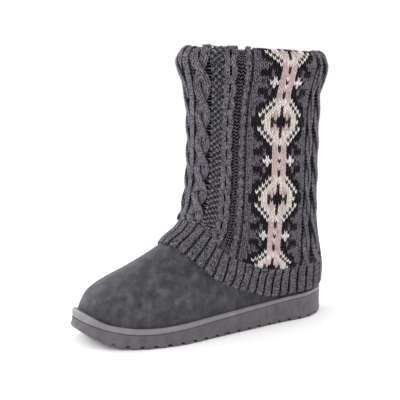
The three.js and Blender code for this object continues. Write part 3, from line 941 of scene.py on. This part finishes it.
def wall_object(name, rings, material):
    """Wall from rings that go up its outside and down its inside."""
    columns = len(rings[0])
    return mesh_object(name, np.concatenate(rings), ring_faces(len(rings), columns, True), material)


def slab_object(name, rings, material):
    """Slab from rings that go up its edge, closed below and above."""
    columns = len(rings[0])
    faces = ring_faces(len(rings), columns, False)
    faces += lid_faces(0, columns, False) + lid_faces((len(rings) - 1) * columns, columns, True)
    return mesh_object(name, np.concatenate(rings), faces, material)


def even_turns(columns):
    return np.arange(columns) * TAU / columns


# Sole

# Sidewall and welt: share of the height from the lower edge, and inset from the outline. The welt's inner
# side has shares alone.
SIDEWALL = [
    (0.0, 1.8),
    (0.05, 0.7),
    (0.12, 0.1),
    (0.3, 0.25),
    (0.55, 0.7),
    (0.8, 0.55),
    (0.92, 0.4),
    (0.97, 0.55),
    (1.0, 0.9),
]
WELT = [(0.0, 1.0), (0.1, 0.5), (0.28, 0.25), (0.5, 0.15), (0.7, 0.45), (0.86, 1.0), (0.96, 1.8), (1.0, 2.9)]
WELT_INNER = (0.75, 0.0)
SOLE_COLUMNS = 480
OUTLINE_STEPS = 3000
CREASE_DEGREES = 32

# At the toe the sole bends up: its lower edge is rolled, the wall and welt lean back, and the welt is higher.
# Each starts at its own place along the boot and is full at the tip. The wall has its share of the lean.
TOE_TIP = -137.0
TOE_ROLL, TOE_ROLL_START = 3.6, -122.0
TOE_LEAN, TOE_LEAN_START = 2.4, -112.0
TOE_CAP, TOE_CAP_START = 3.8, -116.0
WALL_SHARE = 0.6

# Bars that cut the tread's grooves: their foot under the floor, how far they reach past the edge, and the
# section's upper half, as shares of the half width and heights from the top
GROOVE_FOOT = -3
GROOVE_PAST_EDGE = 8
GROOVE_TOP = [(1, -1.1), (0.6, -0.25), (0, 0), (-0.6, -0.25), (-1, -1.1)]


def leaned(turns, inset, rise):
    """The outline at an inset, leaned back at the toe. Rise is 0 at the sole's lower edge, 1 on the welt."""
    lean = TOE_LEAN * rise * ease(TOE_LEAN_START, TOE_TIP, outline_at(turns)[:, 1])
    return inset_outline(turns, inset + lean)


def sole_ring(turns, up, inset):
    p = leaned(turns, inset, WALL_SHARE * up)
    bottom = underside_at(p[:, 0], p[:, 1]) + TOE_ROLL * ease(TOE_ROLL_START, TOE_TIP, p[:, 1])
    return np.column_stack([p, lerp(bottom, platform_at(p[:, 1]), up)])


def tread_points(side):
    """Points on one side of the outline at the tread's pitch, measured along it from the heel's back."""
    edge = outline_at(side * np.linspace(0, math.pi, OUTLINE_STEPS))
    walked = walked_along(edge)
    places = np.arange(NOTCH_FIRST, walked[-1] - NOTCH_LAST, NOTCH_PITCH)
    return np.column_stack([np.interp(places, walked, edge[:, axis]) for axis in (0, 1)])


def groove_bars():
    """One bar across the sole for each groove, its top rounded."""
    vertices, faces = [], []
    half = NOTCH_WIDTH / 2
    section = len(GROOVE_TOP) + 2
    for a, b in zip(tread_points(1), tread_points(-1)):
        across = (a - b) / np.linalg.norm(a - b)
        along = np.array([-across[1], across[0]])
        middle = (a + b) / 2
        top = underside_at(*middle) + NOTCH_DEPTH
        corners = [(-half, GROOVE_FOOT), (half, GROOVE_FOOT)]
        corners += [(half * wide, top + high) for wide, high in GROOVE_TOP]
        start = len(vertices)
        for end in (b - GROOVE_PAST_EDGE * across, a + GROOVE_PAST_EDGE * across):
            for wide, z in corners:
                vertices.append((*(end + along * wide), z))
        faces.append([start + k for k in reversed(range(section))])
        faces.append([start + section + k for k in range(section)])
        for k in range(section):
            after = (k + 1) % section
            faces.append([start + k, start + after, start + section + after, start + section + k])
    return vertices, faces


def outsole_piece(material):
    turns = even_turns(SOLE_COLUMNS)
    rings = [sole_ring(turns, up, inset) for up, inset in SIDEWALL]
    sole = slab_object("moulded_outsole", rings, material)
    vertices, faces = groove_bars()
    bars = mesh_object("groove_bars", vertices, faces, material)
    cut = sole.modifiers.new("tread", "BOOLEAN")
    cut.operation = "DIFFERENCE"
    cut.solver = "EXACT"
    cut.object = bars
    made = made_mesh(sole, "moulded_outsole")
    bpy.data.objects.remove(bars)
    made.data.set_sharp_from_angle(angle=math.radians(CREASE_DEGREES))
    return made


def welt_top(y):
    """Height of the welt over the platform, with the toe's low rubber cap."""
    return welt_height(y) + TOE_CAP * ease(TOE_CAP_START, TOE_TIP, y)


def welt_piece(material):
    """The welt's ring: its outer side and top, and an inner side against the suede that ends lower."""
    turns = even_turns(SOLE_COLUMNS)
    rings = []
    for up, inset in WELT:
        p = leaned(turns, inset, lerp(WALL_SHARE, 1.0, up))
        rings.append(np.column_stack([p, platform_at(p[:, 1]) + GAP + welt_top(p[:, 1]) * up]))
    foot = inset_outline(turns, np.full(turns.shape, LEDGE))[:, 1]
    for up in WELT_INNER:
        z = platform_at(foot) + GAP + welt_top(foot) * up
        ring = last_offset(turns, z, GAP)
        ring[:, 2] = z
        rings.append(ring)
    return wall_object("moulded_welt", rings, material)


# Upper

# Wall of the boot from outside in: suede, a hair's gap, and the lining down to the full wall. It ends just
# above the middle of the collar's fold.
SUEDE, LINING_START = 1.5, 1.6
ABOVE_FOLD = 4

# Footbed: height, gap to the wall, and its edge as shares of the height and insets
FOOTBED_HEIGHT, FOOTBED_GAP = 5, 0.6
FOOTBED_EDGE = ((0, 0), (0.6, 0), (0.85, 0.5), (1, 1.8))

# The dark sheet of painted shade behind the loops lies this far under the plain knit, outside and inside
SHADE_SHEET_LIFTS = (-3.1, -3.6)


def upper_rings(turns, distance, rows_below, rows_above):
    """Rings from the foot to the hem and on to the collar, at a distance from the last's surface."""
    foot, hem = upper_foot(turns), hem_at(turns)
    top = fold_centre(turns) + ABOVE_FOLD
    heights = [lerp(foot, hem, k / rows_below) for k in range(rows_below)]
    heights += [lerp(hem, top, k / rows_above) for k in range(rows_above + 1)]
    rings = [last_offset(turns, z, distance) for z in heights]
    for end in (0, -1):
        rings[end][:, 2] = heights[end]
    return rings


def suede_piece(material):
    turns = even_turns(320)
    outside = upper_rings(turns, 0.0, rows_below=44, rows_above=24)
    inside = upper_rings(turns, -SUEDE, rows_below=10, rows_above=8)
    return wall_object("suede_upper", outside + inside[::-1], material)


def lining_piece(material):
    turns = even_turns(200)
    outside = upper_rings(turns, -LINING_START, rows_below=10, rows_above=8)
    inside = upper_rings(turns, -WALL, rows_below=24, rows_above=24)
    return wall_object("plush_lining", outside + inside[::-1], material)


def insole_piece(material):
    turns = even_turns(200)
    foot = upper_foot(turns)
    edge = last_offset(turns, foot, -WALL - FOOTBED_GAP)
    rings = []
    for up, inset in FOOTBED_EDGE:
        rise = GAP + FOOTBED_HEIGHT * up
        ring = last_offset(turns, platform_at(edge[:, 1]) + rise, -WALL - FOOTBED_GAP - inset)
        ring[:, 2] = platform_at(ring[:, 1]) + rise
        rings.append(ring)
    return slab_object("plush_footbed", rings, material)


def shade_sheet_piece(material):
    """Dark sheet of painted shade behind the loops: a thin tube from the hem over the collar to the lip."""
    turns = even_turns(192)
    places = np.interp(turns, ROUND_TURNS, ROUND_MM)
    rows = np.concatenate([np.linspace(0.4, FOLD_ROW, 44), np.linspace(FOLD_ROW + 0.6, LAST_ROW, 22)])
    outside, inside = (
        [on_sleeve(places, np.full(turns.shape, row), np.full(turns.shape, lift)) for row in rows]
        for lift in SHADE_SHEET_LIFTS
    )
    return wall_object("knit_ground", outside + inside[::-1], material)


# Camera, floor and light

CAMERA_PLACE = (666.7, -396.3, 240.8)
CAMERA_AZIMUTH, CAMERA_PITCH = math.radians(59.66), math.radians(8.5)
SENSOR_WIDTH, LENS = 36, 72
FLOOR_REACH = 4000.0
WORLD_STRENGTH = 1.02

# Soft discs of light: place in metres, width in metres and watts, all aimed at one point of the boot
LIGHTS = {
    "key": ((0.2, -1.5, 1.1), 1.2, 12),
    "toe_side": ((-1.2, -0.9, 0.7), 1.0, 14),
    "heel_side": ((0.2, 1.5, 0.7), 1.0, 10),
}
LIGHT_TARGET = (0, 0, 0.12)


def place_and_aim(obj, place, direction):
    """Puts a camera or a light at a place in metres, facing a direction."""
    facing = direction.to_track_quat("-Z", "Y").to_matrix().to_4x4()
    obj.matrix_world = Matrix.Translation(place) @ facing
    bpy.context.scene.collection.objects.link(obj)


def add_camera():
    data = bpy.data.cameras.new("camera")
    data.sensor_width = SENSOR_WIDTH
    data.lens = LENS
    camera = bpy.data.objects.new("camera", data)
    direction = Vector((
        -math.sin(CAMERA_AZIMUTH) * math.cos(CAMERA_PITCH),
        math.cos(CAMERA_AZIMUTH) * math.cos(CAMERA_PITCH),
        -math.sin(CAMERA_PITCH),
    ))
    place_and_aim(camera, Vector(CAMERA_PLACE) * MM, direction)
    bpy.context.scene.camera = camera


def add_floor():
    material = finish(new_material("paper_sweep")[0], {"Base Color": linear("fbfbfb"), "Roughness": 0.9})
    corners = [(x * FLOOR_REACH, y * FLOOR_REACH, 0) for x, y in ((-1, -1), (1, -1), (1, 1), (-1, 1))]
    floor = mesh_object("floor", corners, [(0, 1, 2, 3)], material, smooth=False)


def add_light(name, place, size, power):
    data = bpy.data.lights.new(name, "AREA")
    data.shape = "DISK"
    data.size = size
    data.energy = power
    place_and_aim(bpy.data.objects.new(name, data), Vector(place), Vector(LIGHT_TARGET) - Vector(place))


def add_world():
    world = bpy.data.worlds.new("studio")
    world.use_nodes = True
    background = world.node_tree.nodes["Background"]
    background.inputs["Color"].default_value = (1, 1, 1, 1)
    background.inputs["Strength"].default_value = WORLD_STRENGTH
    bpy.context.scene.world = world


def knit_pieces():
    """The hem's ribs, the bands of the knit above them, and the dark sheet of painted shade behind them."""
    yarn, tree = yarn_material(), yarn_tree()
    courses = np.arange(0, LAST_ROW) + FIRST_COURSE
    ribs, rib_start = rib_panels()
    bands = [knit_band("rib_hem", (ribs,), courses[:RIB_ROWS], tree, yarn, rib_start, edge=True)]
    for name, (first, end) in BANDS.items():
        bands.append(knit_band(name, (OUTER_PANELS, INNER_PANELS), courses[first:end], tree, yarn))
    bands.append(shade_sheet_piece(shade_sheet_material()))
    return bands


def main():
    bpy.context.scene.view_settings.view_transform = "Standard"
    add_camera()
    add_world()
    add_floor()
    for name, (place, size, power) in LIGHTS.items():
        add_light(name, place, size, power)
    pieces = [(band, "knit_sleeve", "yarn") for band in knit_pieces()]
    rubber = rubber_material("moulded_rubber", "4a474b", "605c61", 0.6)
    pieces.append((outsole_piece(rubber), "outsole", "rubber"))
    welt_rubber = rubber_material("welt_rubber", "6d6b70", "807d83", 0.45)
    pieces.append((welt_piece(welt_rubber), "welt", "welt_rubber"))
    plush = plush_material()
    pieces.append((suede_piece(suede_material()), "upper", "suede"))
    pieces.append((lining_piece(plush), "upper", "plush"))
    pieces.append((insole_piece(plush), "insole", "plush"))
    for piece, node, slot in pieces:
        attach(piece, "root")
        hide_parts(node)


main()
